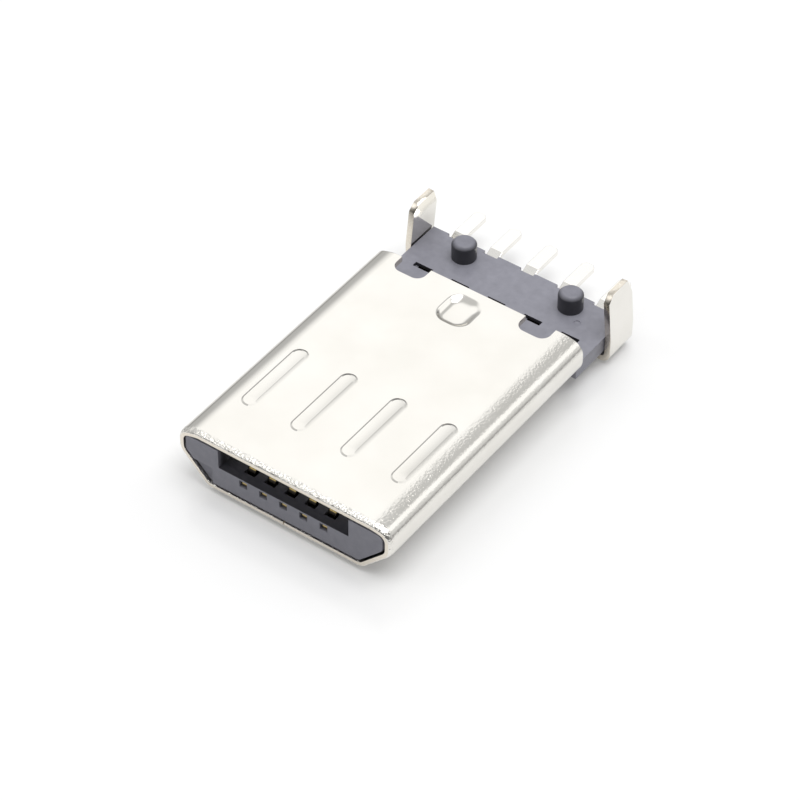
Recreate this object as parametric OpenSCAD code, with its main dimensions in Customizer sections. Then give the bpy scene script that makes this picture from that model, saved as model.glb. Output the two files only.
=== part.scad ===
// Board-mount plug: a folded sheet shell around a moulded insulator, five spring contacts
// and two latch springs. The mouth faces -Y, and the circuit board sits on the rear flange.
// Heights are measured from the underside of the shell, lengths from its mouth.

/* [Shell] */
// Outer width of the shell
shell_w = 6.85; // [6.5:0.05:7.3]
// Outer height of the shell
shell_h = 1.8; // [1.6:0.05:2.2]
// Length of the shell from its mouth to its rear edge
shell_l = 8.74; // [8.4:0.01:9.6]
// Thickness of the sheet
sheet_t = 0.18; // [0.14:0.01:0.22]
// Outer width of the narrow wall, to its sharp corners
floor_w = 5.05; // [4.9:0.05:5.5]
// Height where the straight sides turn in, to the sharp corner
knee_h = 0.94; // [0.75:0.01:1.05]
// Outer bend radius at the wide wall
top_bend_r = 0.4; // [0.3:0.01:0.5]
// Outer bend radius where the sides turn in
knee_bend_r = 0.5; // [0.35:0.01:0.6]
// Outer bend radius at the narrow wall
floor_bend_r = 0.4; // [0.3:0.01:0.5]
// Width of the seam where the sheet's edges meet
seam_gap = 0.04; // [0.02:0.01:0.1]

/* [Wide wall] */
// Number of pressed ribs
rib_n = 4; // [2:1:4]
// Distance between neighbouring ribs
rib_pitch = 1.61; // [1.3:0.01:1.7]
// Width of a rib
rib_w = 0.52; // [0.4:0.01:0.6]
// Length of a rib, over its round ends
rib_l = 2.6; // [1.5:0.01:3.2]
// Distance from the mouth to the ribs
rib_setback = 1.57; // [1:0.01:2]
// Height of a rib above the wall, at its left side
rib_h = 0.04; // [0.03:0.01:0.1]
// How far a rib's sloped top ends below the wall's face, at its right side
rib_sink = 0.005; // [0.002:0.001:0.02]
// Sheet beside the hollow under a rib
rib_wall = 0.1; // [0.06:0.01:0.14]
// Width of the rounded dimple
dimple_w = 1.1; // [0.9:0.01:1.3]
// Length of the dimple along the plug
dimple_l = 1.24; // [0.9:0.01:1.4]
// Corner radius of the dimple
dimple_r = 0.42; // [0.2:0.01:0.44]
// Depth of the dimple
dimple_depth = 0.08; // [0.04:0.01:0.1]
// Distance from the rear edge to the dimple
dimple_setback = 0.24; // [0.15:0.01:0.6]
// Distance between the two notches in the rear edge, centre to centre
notch_spread = 4.1; // [3.6:0.01:4.4]
// Width of a notch
notch_w = 0.98; // [0.7:0.01:1.1]
// Depth of a notch
notch_l = 0.54; // [0.4:0.01:0.55]
// Radius at the bottom of a notch
notch_r = 0.28; // [0.1:0.01:0.34]

/* [Board lugs] */
// Distance from the shell's rear edge to a lug
lug_setback = 1.39; // [1:0.01:1.6]
// Length of a lug along the plug
lug_l = 1.12; // [0.9:0.01:1.3]
// Height of a lug above the board seat
lug_rise = 1.46; // [1.2:0.01:2]
// How far a lug leans in above the board seat, in degrees
lug_lean = 5; // [0:1:10]
// Outer bend radius at a lug's root
lug_bend_r = 0.3; // [0.25:0.01:0.4]
// Length cut from a lug's tip at the rear
lug_cut_l = 0.2; // [0.1:0.01:0.4]
// Height of that cut
lug_cut_h = 0.5; // [0.2:0.01:1]
// Chamfer at the front of a lug's tip
lug_chamfer = 0.22; // [0.05:0.01:0.3]
// How far the sole's edge lies inside a lug's outer face
sole_inset = 0.45; // [0.35:0.01:0.6]
// Length over which the sole widens behind the shell
sole_flare = 0.5; // [0.3:0.01:0.8]

/* [Insulator] */
// Gap between the insulator and the sheet
body_gap = 0.04; // [0.02:0.01:0.06]
// How far the insulator's front steps in from its sides
front_step = 0.04; // [0.02:0.01:0.06]
// Length of that step along the plug
front_step_l = 0.15; // [0.1:0.01:0.25]
// Width of the tongue slot
slot_w = 4.2; // [4:0.01:4.6]
// Height of the tongue slot's floor
slot_h = 0.94; // [0.88:0.01:1]
// Depth of the tongue slot from the mouth
slot_l = 5.2; // [4:0.1:5.6]
// Thickness of the bar at the front of the contact lanes
bar_t = 0.27; // [0.2:0.01:0.4]
// Height of the sill of a window in the bar
window_z = 0.66; // [0.6:0.01:0.67]
// Inner edge of the relief in the lower left of the face, from the middle
relief_x = 2.32; // [2.3:0.01:2.6]
// Upper edge of that relief
relief_z = 0.8; // [0.6:0.01:0.9]
// Depth of that relief
relief_t = 0.06; // [0.03:0.01:0.1]
// How far the full-height body stops short of the shell's rear edge
body_setback = 0.6; // [0.56:0.01:0.8]

/* [Flange] */
// Height of the board seat
seat_h = 0.85; // [0.82:0.01:0.95]
// Thickness of the flange
flange_t = 0.5; // [0.4:0.01:0.6]
// Length of the flange
flange_l = 2.42; // [2.2:0.01:2.8]
// Gap between the flange and the shell's rear edge
flange_gap = 0.03; // [0.02:0.01:0.1]
// Gap between the flange and a lug
lug_gap = 0.03; // [0.02:0.01:0.1]
// Drop from the board seat to the moulding's step inside the shell
seat_step = 0.02; // [0.01:0.01:0.05]
// Width of the slits in the board seat
slit_w = 0.58; // [0.4:0.01:0.7]
// Length of the slits along the plug
slit_l = 0.17; // [0.1:0.01:0.3]
// Distance from the front of the flange to the slits
slit_setback = 0.73; // [0.3:0.01:0.9]
// Diameter of the round mark that a mould pin left in the board seat
mark_d = 0.2; // [0.1:0.01:0.3]
// Depth of that mark
mark_t = 0.03; // [0.01:0.01:0.05]
// Distance of that mark from the middle, to the right
mark_x = 2.29; // [2.2:0.01:2.5]
// Distance from the front of the flange to that mark
mark_setback = 1.43; // [1.2:0.01:1.5]
// Depth of the notches over the tails at the flange's rear edge
tail_notch_l = 0.1; // [0.05:0.01:0.15]
// Room beside a tail in its notch
tail_notch_gap = 0.03; // [0.02:0.01:0.06]

/* [Locating posts] */
// Diameter of a post
post_d = 0.72; // [0.6:0.01:0.8]
// Height of a post above the board seat
post_h = 0.58; // [0.3:0.01:0.8]
// Chamfer at the tip of a post
post_chamfer = 0.1; // [0.03:0.01:0.15]
// Distance between the posts, centre to centre
post_pitch = 3.56; // [3.2:0.01:4]
// Distance from the front of the flange to the posts
post_setback = 1.86; // [1.6:0.01:2]

/* [Contacts] */
// Distance between neighbouring contacts at the mouth
contact_pitch = 0.65; // [0.62:0.01:0.68]
// Width of a contact's spring
contact_w = 0.22; // [0.2:0.01:0.36]
// Thickness of the contact strip
contact_t = 0.15; // [0.1:0.01:0.16]
// Height of the strip's underside in the insulator
strip_z = 0.57; // [0.55:0.01:0.62]
// Room beside a contact in its lane
lane_gap = 0.06; // [0.03:0.01:0.08]
// Room below a contact in its lane
lane_travel = 0.15; // [0.08:0.01:0.2]
// Fit of the strip in the moulding, each side
strip_fit = 0.01; // [0.005:0.005:0.02]
// Distance from the mouth to a contact's tip
tip_setback = 0.07; // [0.03:0.01:0.09]
// Width of a contact's nose, which lies in a window of the bar
nose_w = 0.18; // [0.1:0.01:0.2]
// Room around a nose in its window
nose_fit = 0.035; // [0.02:0.005:0.04]
// Gap between the bar and a contact's shoulders
shoulder_gap = 0.03; // [0.02:0.01:0.1]
// Height of a contact's bump
bump_h = 1.14; // [1:0.01:1.2]
// Length over which a contact rises to its bump
rise_l = 0.2; // [0.15:0.01:0.6]
// How far the underside of a contact's rise lies behind the upper side
rise_lag = 0.1; // [0.05:0.01:0.15]
// Length over which a contact comes down behind its bump
fall_l = 1.9; // [1.2:0.1:2.5]
// Length of strip between the tongue slot and the fan
fan_setback = 0.3; // [0.1:0.1:0.8]
// How far the fan runs past the shell's rear edge
fan_past = 0.2; // [0:0.05:0.4]

/* [Solder tails] */
// Distance between neighbouring tails
tail_pitch = 1.22; // [1.1:0.01:1.25]
// Width of a tail
tail_w = 0.4; // [0.3:0.01:0.44]
// Length of a tail behind the flange
tail_l = 1.28; // [0.9:0.01:1.6]
// Length of the jog that lifts a tail to the board
jog_l = 0.22; // [0.15:0.01:0.4]
// How far a tail lies below the board seat
tail_drop = 0.02; // [0.01:0.01:0.05]
// Chamfer at the end of a tail
tail_chamfer = 0.1; // [0.03:0.01:0.14]

/* [Latch springs] */
// Distance between the latch springs, centre to centre
latch_spread = 4; // [3.9:0.01:4.1]
// Width of a latch spring
latch_w = 0.5; // [0.35:0.01:0.54]
// Thickness of a latch spring
latch_t = 0.16; // [0.1:0.01:0.18]
// Distance from the mouth to a latch spring
latch_setback = 1.2; // [0.8:0.01:1.3]
// Length of a latch spring
latch_l = 5.4; // [4.6:0.1:6]
// Length of a latch spring's anchor in the insulator
anchor_l = 1; // [0.6:0.1:1.5]
// Height of a latch spring above the sheet
latch_lift = 0.02; // [0.01:0.01:0.04]
// Room above a latch spring for its travel
latch_travel = 0.3; // [0.2:0.01:0.36]
// Room beside a latch spring in its channel
latch_gap = 0.04; // [0.02:0.01:0.06]
// Distance from the latch spring's tip to its hook
hook_setback = 0.25; // [0.15:0.01:0.5]
// Length of the hook's ramp
hook_ramp_l = 0.4; // [0.2:0.01:0.6]
// Length of the hook's flat tip
hook_tip_l = 0.15; // [0.1:0.01:0.3]
// Length of the hook's steep back
hook_back_l = 0.1; // [0.05:0.01:0.2]
// How far the hook stands out below the shell
hook_drop = 0.12; // [0.08:0.01:0.2]
// Room around the hook in the shell's window
hook_gap = 0.1; // [0.05:0.01:0.14]

/* [Hidden] */
$fn = 64;
contact_n = 5;
// Overshoot of a cut past the face that it opens
over = 0.1;
// Points along each stretch of a contact's curve
curve_steps = 10;

// Slanted side of the shell: how far it comes in, and its length
side_in = (shell_w - floor_w) / 2;
slant_l = norm([side_in, knee_h]);
body_inset = sheet_t + body_gap;

// Stations along the plug
flange_y = shell_l + flange_gap;
flange_end = flange_y + flange_l;
overall_l = flange_end + tail_l;
body_end = shell_l - body_setback;
lug_y = shell_l + lug_setback;
lug_end = lug_y + lug_l;
post_y = flange_y + post_setback;
slit_y = flange_y + slit_setback;
mark_y = flange_y + mark_setback;
shoulder_y = bar_t + shoulder_gap;
bump_y = shoulder_y + rise_l;
fan_y = slot_l + fan_setback;
fan_end = shell_l + fan_past;
hook_y = latch_setback + hook_setback;
hook_l = hook_ramp_l + hook_tip_l + hook_back_l;
latch_end = latch_setback + latch_l;
anchor_y = latch_end - anchor_l;

// Half widths
lug_out = shell_w / 2;
root_half = lug_out - lug_bend_r;
sole_half = lug_out - sole_inset;
flange_half = lug_out - sheet_t - lug_gap;
flat_half = fillet([-floor_w / 2, 0], [floor_w / 2, 0], knee_corner(0), floor_bend_r)[0].x;

// Heights
roof_z = shell_h - sheet_t;
rib_slope = atan((rib_h + rib_sink) / rib_w);
strip_top = strip_z + contact_t;
nose_z = window_z + nose_fit;
nose_top = nose_z + contact_t;
tail_top = seat_h - tail_drop;
latch_z = sheet_t + latch_lift;
latch_top = latch_z + latch_t;

// A contact's place at the mouth and at its tail, counted from the left
function contact_x(i) = (i - (contact_n + 1) / 2) * contact_pitch;
function tail_x(i) = (i - (contact_n + 1) / 2) * tail_pitch;

function unit(v) = v / norm(v);
function smooth(u) = (1 - cos(180 * u)) / 2;

// Right-hand corners of the shell's outline, moved in from its outside
function top_corner(inset) = [shell_w / 2 - inset, shell_h - inset];
function knee_corner(inset) = [shell_w / 2 - inset, knee_h + inset * (slant_l - knee_h) / side_in];
function floor_corner(inset) =
    [shell_w / 2 - ((knee_h - inset) * side_in + inset * slant_l) / knee_h, inset];
function flip(p) = [-p.x, p.y];

// Both tangent points of a rounded corner, and the centre of its arc
function fillet(before, corner, after, r) =
    let (
        u = unit(before - corner),
        v = unit(after - corner),
        half = acos(u * v) / 2
    )
    [corner + u * r / tan(half), corner + v * r / tan(half), corner + unit(u + v) * r / sin(half)];

// Height of a contact's upper side along its spring
function spring_top(y) =
    y < bump_y
        ? nose_top + (bump_h - nose_top) * smooth((y - shoulder_y) / rise_l)
        : strip_top + (bump_h - strip_top) * (1 - smooth(min(1, (y - bump_y) / fall_l)));

module placed() translate([0, -overall_l / 2, hook_drop]) children();
module both_sides() for (side = [0, 1]) mirror([side, 0, 0]) children();
module box(low, high) translate(low) cube(high - low);

// Runs an outline in X and Z along the plug
module along_y(from, to) translate([0, to, 0]) rotate([90, 0, 0]) linear_extrude(to - from) children();

// Runs an outline in Y and Z across the plug, centred on x
module along_x(x, width)
    translate([x - width / 2, 0, 0]) rotate([90, 0, 90]) linear_extrude(width) children();

// Convex outline: a polygon through the tangent points, and a disc in each corner
module rounded_outline(corners, radii) {
    n = len(corners);
    fillets = [
        for (i = [0:n - 1]) fillet(corners[(i + n - 1) % n], corners[i], corners[(i + 1) % n], radii[i])
    ];
    polygon([for (f = fillets) each [f[0], f[1]]]);
    for (i = [0:n - 1]) translate(fillets[i][2]) circle(radii[i]);
}

// The shell's D outline, wide wall up, moved in from its outside
module d_outline(inset) {
    right = [floor_corner(inset), knee_corner(inset), top_corner(inset)];
    radii = [floor_bend_r - inset, knee_bend_r - inset, top_bend_r - inset];
    rounded_outline(
        [each right, flip(right[2]), flip(right[1]), flip(right[0])],
        [each radii, radii[2], radii[1], radii[0]]
    );
}

// Sheet that lies under the flange and carries the lugs
module sole() {
    right = [
        [flat_half, shell_l],
        [sole_half, shell_l + sole_flare],
        [sole_half, lug_y],
        [root_half, lug_y],
        [root_half, lug_end],
    ];
    linear_extrude(sheet_t) polygon([each right, for (i = [len(right) - 1:-1:0]) flip(right[i])]);
}

module lug() {
    along_y(lug_y, lug_end) difference() {
        intersection() {
            translate([root_half, lug_bend_r]) circle(lug_bend_r);
            translate([root_half, 0]) square(lug_bend_r);
        }
        translate([root_half, lug_bend_r]) circle(lug_bend_r - sheet_t);
    }
    box([lug_out - sheet_t, lug_y, lug_bend_r], [lug_out, lug_end, seat_h]);
    translate([lug_out, 0, seat_h]) rotate([0, -lug_lean, 0]) along_x(-sheet_t / 2, sheet_t) polygon([
        [lug_y, 0],
        [lug_end, 0],
        [lug_end, lug_rise - lug_cut_h],
        [lug_end - lug_cut_l, lug_rise],
        [lug_y + lug_chamfer, lug_rise],
        [lug_y, lug_rise - lug_chamfer],
    ]);
}

// Ribs with round ends, moved in from their sides, whose tops fall to the right
module ribs(inset, from, to) {
    r = rib_w / 2 - inset;
    run = rib_l - rib_w;
    first_x = -(rib_n - 1) / 2 * rib_pitch;
    for (i = [0:rib_n - 1])
        translate([first_x + i * rib_pitch, rib_setback + rib_w / 2, 0]) difference() {
            translate([0, 0, from]) linear_extrude(to - from) {
                translate([-r, 0]) square([2 * r, run]);
                circle(r);
                translate([0, run]) circle(r);
            }
            translate([-rib_w / 2, -rib_w, to]) rotate([0, rib_slope, 0])
                cube([2 * rib_w, rib_l + rib_w, rib_w]);
        }
}

module dimple() {
    half = [dimple_w, dimple_l] / 2;
    corners = [[half.x, -half.y], half, [-half.x, half.y], -half];
    translate([0, shell_l - dimple_setback - half.y, shell_h - dimple_depth])
        linear_extrude(dimple_depth + over) rounded_outline(corners, [for (c = corners) dimple_r]);
}

module rear_notch() {
    half = notch_w / 2;
    bottom = shell_l - notch_l;
    translate([notch_spread / 2, 0, roof_z - over]) linear_extrude(sheet_t + 2 * over) {
        translate([-half, bottom + notch_r]) square([notch_w, notch_l]);
        translate([notch_r - half, bottom]) square([notch_w - 2 * notch_r, notch_l]);
        for (side = [-1, 1]) translate([side * (half - notch_r), bottom + notch_r]) circle(notch_r);
    }
}

module hook_window() {
    half = latch_w / 2 + hook_gap;
    translate([latch_spread / 2, 0, 0])
        box([-half, hook_y - hook_gap, -over], [half, hook_y + hook_l + hook_gap, sheet_t + over]);
}

module shell() color("gainsboro") placed() difference() {
    union() {
        difference() {
            along_y(0, shell_l) d_outline(0);
            along_y(-over, shell_l + over) d_outline(sheet_t);
        }
        ribs(0, shell_h - sheet_t / 2, shell_h + rib_h);
        sole();
        both_sides() lug();
    }
    ribs(rib_wall, roof_z - over, roof_z + rib_h);
    dimple();
    both_sides() rear_notch();
    both_sides() hook_window();
    box([-seam_gap / 2, -over, -over], [seam_gap / 2, lug_end + over, sheet_t + over]);
}

// Plan of a contact from the tongue slot to the flange's rear, with room around it
module strip_plan(i, room, from, to) {
    front = contact_w / 2 + room;
    rear = tail_w / 2 + room;
    polygon([
        [contact_x(i) - front, from],
        [contact_x(i) + front, from],
        [contact_x(i) + front, fan_y],
        [tail_x(i) + rear, fan_end],
        [tail_x(i) + rear, to],
        [tail_x(i) - rear, to],
        [tail_x(i) - rear, fan_end],
        [contact_x(i) - front, fan_y],
    ]);
}

// What a contact needs cut from the insulator
module contact_room(i) {
    lane = contact_w / 2 + lane_gap;
    half = nose_w / 2 + nose_fit;
    notch = tail_w / 2 + tail_notch_gap;
    translate([contact_x(i), 0, 0]) {
        box([-lane, bar_t, strip_z - lane_travel], [lane, slot_l, slot_h + over]);
        box([-half, -over, window_z], [half, bar_t + over, nose_top + nose_fit]);
    }
    translate([0, 0, strip_z - strip_fit]) linear_extrude(contact_t + 2 * strip_fit)
        strip_plan(i, strip_fit, slot_l - over, flange_end + over);
    translate([tail_x(i), 0, 0]) {
        box([-slit_w / 2, slit_y, strip_top], [slit_w / 2, slit_y + slit_l, seat_h + over]);
        box([-notch, flange_end - tail_notch_l, strip_top], [notch, flange_end + over, seat_h + over]);
    }
}

// What a latch spring needs cut from the insulator
module latch_room() {
    half = latch_w / 2 + latch_gap;
    translate([latch_spread / 2, 0, 0]) {
        box([-half, latch_setback - latch_gap, -over], [half, anchor_y, latch_top + latch_travel]);
        box([-half, anchor_y - over, -over], [half, latch_end + latch_gap, latch_top + strip_fit]);
    }
}

module post() translate([post_pitch / 2, post_y, seat_h]) {
    translate([0, 0, -over]) cylinder(d = post_d, h = post_h - post_chamfer + over);
    translate([0, 0, post_h - post_chamfer])
        cylinder(d1 = post_d, d2 = post_d - 2 * post_chamfer, h = post_chamfer);
}

module insulator() color("dimgray") placed() difference() {
    union() {
        along_y(0, front_step_l + over) d_outline(body_inset + front_step);
        along_y(front_step_l, body_end) d_outline(body_inset);
        intersection() {
            along_y(body_end - over, flange_y) d_outline(body_inset);
            box([-shell_w, 0, 0], [shell_w, flange_y, seat_h - seat_step]);
        }
        box([-flange_half, flange_y, seat_h - flange_t], [flange_half, flange_end, seat_h]);
        box([-flat_half, flange_y, body_inset], [flat_half, flange_end, seat_h - flange_t]);
        both_sides() post();
    }
    box([-slot_w / 2, -over, slot_h], [slot_w / 2, slot_l, shell_h]);
    box([-shell_w, -over, -over], [-relief_x, relief_t, relief_z]);
    translate([mark_x, mark_y, seat_h - mark_t]) cylinder(d = mark_d, h = mark_t + over);
    for (i = [1:contact_n]) contact_room(i);
    both_sides() latch_room();
}

module contact(i) color("goldenrod") placed() {
    stations = [
        for (k = [0:curve_steps - 1]) shoulder_y + rise_l * k / curve_steps,
        for (k = [0:curve_steps]) bump_y + fall_l * k / curve_steps,
    ];
    upper = [for (y = stations) [y, spring_top(y)]];
    lower = [for (k = [len(stations) - 1:-1:0]) upper[k] + [rise_lag, -contact_t]];
    along_x(contact_x(i), contact_w)
        polygon([each upper, [slot_l, strip_top], [slot_l, strip_z], each lower, [shoulder_y, nose_z]]);
    translate([contact_x(i), 0, 0])
        box([-nose_w / 2, tip_setback, nose_z], [nose_w / 2, shoulder_y + rise_lag, nose_top]);
    translate([0, 0, strip_z]) linear_extrude(contact_t) strip_plan(i, 0, slot_l, flange_end);
    along_x(tail_x(i), tail_w) polygon([
        [flange_end, strip_z],
        [flange_end + jog_l, tail_top - contact_t],
        [flange_end + jog_l, tail_top],
        [flange_end, strip_top],
    ]);
    translate([tail_x(i), 0, tail_top - contact_t]) linear_extrude(contact_t) polygon([
        [-tail_w / 2, flange_end + jog_l],
        [tail_w / 2, flange_end + jog_l],
        [tail_w / 2, overall_l - tail_chamfer],
        [tail_w / 2 - tail_chamfer, overall_l],
        [tail_chamfer - tail_w / 2, overall_l],
        [-tail_w / 2, overall_l - tail_chamfer],
    ]);
}

module latch_spring(side) color("silver") placed() along_x(side * latch_spread / 2, latch_w) polygon([
    [latch_setback, latch_z],
    [hook_y, latch_z],
    [hook_y + hook_ramp_l, -hook_drop],
    [hook_y + hook_ramp_l + hook_tip_l, -hook_drop],
    [hook_y + hook_l, latch_z],
    [latch_end, latch_z],
    [latch_end, latch_top],
    [latch_setback, latch_top],
]);

shell();
insulator();
for (i = [1:contact_n]) contact(i);
latch_spring(-1);  // latch_spring_left
latch_spring(1);  // latch_spring_right
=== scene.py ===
# %% [markdown]
# A board-mount plug, seen close up. The real one is about as long as a thumbnail is wide: a folded
# sheet shell round a black moulding, with five contacts and two latch springs inside. The exact
# solids are loaded first, and every piece below is drawn over them in the same place.

# %% Load the solids
import math

import bmesh
import bpy
from mathutils import Matrix, Vector


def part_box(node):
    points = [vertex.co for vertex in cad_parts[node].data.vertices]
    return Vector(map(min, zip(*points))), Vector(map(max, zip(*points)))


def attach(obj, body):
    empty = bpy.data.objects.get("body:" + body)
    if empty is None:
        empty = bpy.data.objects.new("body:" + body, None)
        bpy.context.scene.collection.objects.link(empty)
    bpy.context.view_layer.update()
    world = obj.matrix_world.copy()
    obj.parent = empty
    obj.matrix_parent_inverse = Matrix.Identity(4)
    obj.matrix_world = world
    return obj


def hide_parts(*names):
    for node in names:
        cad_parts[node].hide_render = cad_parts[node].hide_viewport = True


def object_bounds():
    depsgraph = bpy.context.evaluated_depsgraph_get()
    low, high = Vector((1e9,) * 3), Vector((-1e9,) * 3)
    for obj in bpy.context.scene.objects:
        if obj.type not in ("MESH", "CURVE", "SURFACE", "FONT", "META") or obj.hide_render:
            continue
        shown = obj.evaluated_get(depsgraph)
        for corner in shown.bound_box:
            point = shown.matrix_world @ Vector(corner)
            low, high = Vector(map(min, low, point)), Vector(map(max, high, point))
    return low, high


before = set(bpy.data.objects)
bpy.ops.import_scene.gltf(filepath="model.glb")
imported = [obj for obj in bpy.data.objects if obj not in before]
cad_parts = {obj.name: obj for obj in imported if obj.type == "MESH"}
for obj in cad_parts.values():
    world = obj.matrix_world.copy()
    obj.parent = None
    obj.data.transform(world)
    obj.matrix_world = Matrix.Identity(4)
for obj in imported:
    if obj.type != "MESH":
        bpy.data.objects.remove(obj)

cad_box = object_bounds()
print("solids:", sorted(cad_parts))

# %% [markdown]
# The pieces are drawn in millimetres, with the mouth at y = 0 and the shell's underside at z = 0,
# because that is how such a part is measured. One matrix then takes a finished mesh to metres and to
# its place among the solids, so each object stays at the origin, unturned and unscaled.

# %% From the drawing to the model
MM = 0.001
shell_low, shell_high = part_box("shell")
drawing_to_model = Matrix.Translation((0, shell_low.y, shell_low.z)) @ Matrix.Scale(MM, 4)
print("mouth at y", round(shell_low.y / MM, 3), "mm, underside at z", round(shell_low.z / MM, 3), "mm")

# %% [markdown]
# The camera looks down on the wide wall from the front right, through a long lens, so the plug's long
# edges stay nearly parallel. Its angles, distance and lens were fitted to the plug's known sizes. The
# distance and the target are in the drawing's millimetres, and the matrix above takes the eye to its
# place.

# %% Camera
IMAGE_W = 800
CAMERA_AZIMUTH = 35.84
CAMERA_ELEVATION = 43.78
CAMERA_ROLL = 0.11
CAMERA_DISTANCE = 85.6
FOCAL_PIXELS = 3218.5
TARGET = Vector((0, 5, 0.9))
TARGET_PIXEL = (397.1, 394.1)
SENSOR_W = 36
CLIP_START = 0.001

azimuth, elevation = math.radians(CAMERA_AZIMUTH), math.radians(CAMERA_ELEVATION)
back = Vector((
    math.sin(azimuth) * math.cos(elevation),
    -math.cos(azimuth) * math.cos(elevation),
    math.sin(elevation),
))
level = Vector((math.cos(azimuth), math.sin(azimuth), 0))
roll = Matrix.Rotation(math.radians(CAMERA_ROLL), 3, back)
right, up = roll @ level, roll @ back.cross(level)
off_right = (TARGET_PIXEL[0] - IMAGE_W / 2) / FOCAL_PIXELS * CAMERA_DISTANCE
off_up = (IMAGE_W / 2 - TARGET_PIXEL[1]) / FOCAL_PIXELS * CAMERA_DISTANCE
eye = TARGET + back * CAMERA_DISTANCE - right * off_right - up * off_up

lens = bpy.data.cameras.new("camera")
lens.sensor_width = SENSOR_W
lens.lens = FOCAL_PIXELS / IMAGE_W * SENSOR_W
lens.clip_start = CLIP_START
camera = bpy.data.objects.new("camera", lens)
camera.matrix_world = Matrix.LocRotScale(
    drawing_to_model @ eye, Matrix((right, up, back)).transposed().to_quaternion(), None
)
bpy.context.scene.collection.objects.link(camera)
bpy.context.scene.camera = camera
bpy.context.scene.view_settings.view_transform = "Standard"
print("lens", round(lens.lens, 1), "mm")

# %% [markdown]
# Every material is a small tree of nodes. Colours are picked as screen values, so one function turns
# them to the linear values that a shader works in, and one more adds a node with its settings, its
# colour stops and its links. Patterns read Object coordinates, which are metres here, so a pattern of
# a known size in millimetres has a scale of one over that size.

# %% Helpers for materials
def linear(hex_colour):
    """Linear RGBA from an sRGB hex colour."""
    channels = [int(hex_colour[i:i + 2], 16) / 255 for i in (1, 3, 5)]
    return [c / 12.92 if c <= 0.04045 else ((c + 0.055) / 1.055) ** 2.4 for c in channels] + [1]


def add_node(tree, kind, inputs=None, stops=(), **settings):
    """Adds a node, sets its properties and colour stops, and fills or links its inputs."""
    node = tree.nodes.new(kind)
    for setting, value in settings.items():
        setattr(node, setting, value)
    for i, (place, colour) in enumerate(stops):
        ramp = node.color_ramp.elements
        stop = ramp[i] if i < len(ramp) else ramp.new(1)
        stop.position, stop.color = place, colour
    for name, value in (inputs or {}).items():
        if isinstance(value, bpy.types.NodeSocket):
            tree.links.new(value, node.inputs[name])
        else:
            node.inputs[name].default_value = value
    return node


def new_material(name):
    """An empty material, its tree, and Object coordinates to draw patterns by."""
    material = bpy.data.materials.new(name)
    material.use_nodes = True
    tree = material.node_tree
    tree.nodes.clear()
    coords = add_node(tree, "ShaderNodeTexCoord").outputs["Object"]
    return material, tree, coords


def per_mm(size):
    """Texture scale for a pattern whose features are this many millimetres apart."""
    return 1 / (size * MM)


print("white is", linear("#ffffff"))

# %% [markdown]
# Bright nickel over cold-rolled steel mirrors the room, softly, in a warm white. Where the sheet was
# stretched, along one bend and round the mouth, the surface is a fine orange peel that breaks the
# reflection into sparkles. Such dents could be modelled, but they are far finer than the faces of a
# bend, so the peel is a bump, kept to those places by the coordinates.

# %% Nickel plate
SHELL_L = 8.74
CLOUD_SIZE = 1.5
# The real peel is finer. It is drawn this coarse because its dents would not show otherwise.
PEEL_SIZE, PEEL_DEPTH = 0.07, 0.035
PEEL_X, PEEL_SPAN = 2.5, 1.0
PEEL_ACROSS = [(0, 0), (0.25, 0.12), (0.4, 0.32), (0.58, 0.32), (0.7, 0.15)]
PEEL_FADE, PEEL_FULL = 0.24, 0.1


def nickel_plate():
    # Nickel plate hides its own surface: the eye gets the room, a little warmer and softer.
    material, tree, coords = new_material("bright_nickel_plate_on_rolled_steel")
    place = add_node(tree, "ShaderNodeSeparateXYZ", {0: coords})
    cloud = add_node(
        tree, "ShaderNodeTexNoise", {"Vector": coords, "Scale": per_mm(CLOUD_SIZE), "Detail": 3}
    )
    colour = add_node(
        tree,
        "ShaderNodeValToRGB",
        {0: cloud.outputs[0]},
        stops=[(0, linear("#e2dfd8")), (1, linear("#f0eee9"))],
    )
    rough = add_node(
        tree, "ShaderNodeMapRange", {0: cloud.outputs[0], "To Min": 0.07, "To Max": 0.13}
    )
    peel = add_node(
        tree, "ShaderNodeTexNoise", {"Vector": coords, "Scale": per_mm(PEEL_SIZE), "Detail": 2}
    )
    across = add_node(
        tree,
        "ShaderNodeMapRange",
        {0: place.outputs["X"], "From Min": PEEL_X * MM, "From Max": (PEEL_X + PEEL_SPAN) * MM},
    )
    on_bend = add_node(
        tree,
        "ShaderNodeValToRGB",
        {0: across.outputs[0]},
        stops=[(at, (share, share, share, 1)) for at, share in PEEL_ACROSS],
    )
    at_mouth = add_node(
        tree,
        "ShaderNodeMapRange",
        {
            0: place.outputs["Y"],
            "From Min": shell_low.y + PEEL_FADE * MM,
            "From Max": shell_low.y + PEEL_FULL * MM,
        },
        interpolation_type="SMOOTHSTEP",
    )
    on_tube = add_node(
        tree,
        "ShaderNodeMath",
        {0: place.outputs["Y"], 1: shell_low.y + SHELL_L * MM},
        operation="LESS_THAN",
    )
    bend_peel = add_node(
        tree, "ShaderNodeMath", {0: on_bend.outputs[0], 1: on_tube.outputs[0]}, operation="MULTIPLY"
    )
    stretched = add_node(
        tree, "ShaderNodeMath", {0: bend_peel.outputs[0], 1: at_mouth.outputs[0]}, operation="MAXIMUM"
    )
    bump = add_node(
        tree,
        "ShaderNodeBump",
        {"Strength": stretched.outputs[0], "Distance": PEEL_DEPTH * MM, "Height": peel.outputs[0]},
    )
    shader = add_node(
        tree,
        "ShaderNodeBsdfPrincipled",
        {
            "Base Color": colour.outputs[0],
            "Metallic": 1.0,
            "Roughness": rough.outputs[0],
            "Normal": bump.outputs[0],
        },
    )
    add_node(tree, "ShaderNodeOutputMaterial", {0: shader.outputs[0]})
    return material


nickel = nickel_plate()
print("made", nickel.name)

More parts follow.
